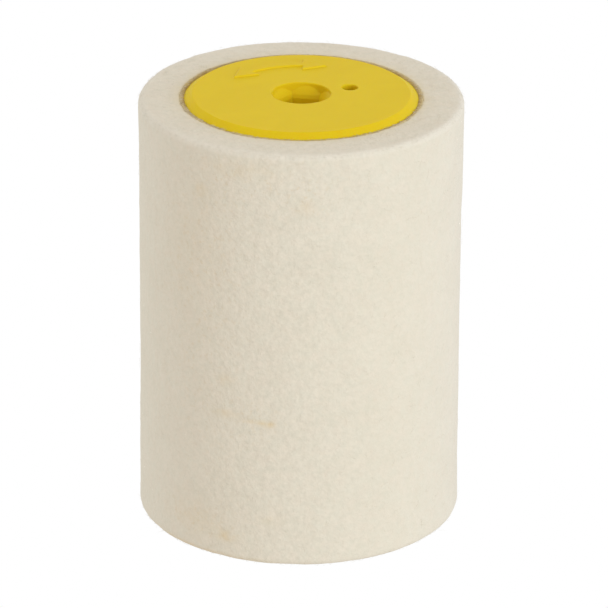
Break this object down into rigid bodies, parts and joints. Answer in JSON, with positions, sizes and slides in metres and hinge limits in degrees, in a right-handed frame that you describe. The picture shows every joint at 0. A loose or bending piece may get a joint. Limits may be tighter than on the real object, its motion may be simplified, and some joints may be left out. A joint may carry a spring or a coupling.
{
  "type": "felt polishing wheel",
  "caption": "Thick wool-felt roller on a hollow core, closed by moulded caps with a hexagonal drive socket and an index hole.",
  "frame": {"origin": "on the spin axis at mid-length", "axes": "+Z along the spin axis towards the top cap, +X through the index hole of each cap"},
  "size_m": [0.072, 0.072, 0.1002],
  "materials": {
    "wool_felt": "dense pressed wool felt, cream, matte and slightly fuzzy",
    "cap_plastic": "moulded yellow plastic, satin, fine surface grain",
    "tube_plastic": "extruded plastic tube, matte",
    "adhesive": "set amber-brown adhesive, uneven and slightly glossy"
  },
  "bodies": {
    "root": {"felt_sleeve": "wool_felt", "felt_adhesive": "adhesive", "core_tube": "tube_plastic", "shaft_guide_tube": "tube_plastic", "end_cap_top": "cap_plastic", "end_cap_bottom": "cap_plastic", "cap_adhesive_top": "adhesive", "cap_adhesive_bottom": "adhesive"}
  },
  "joints": []
}
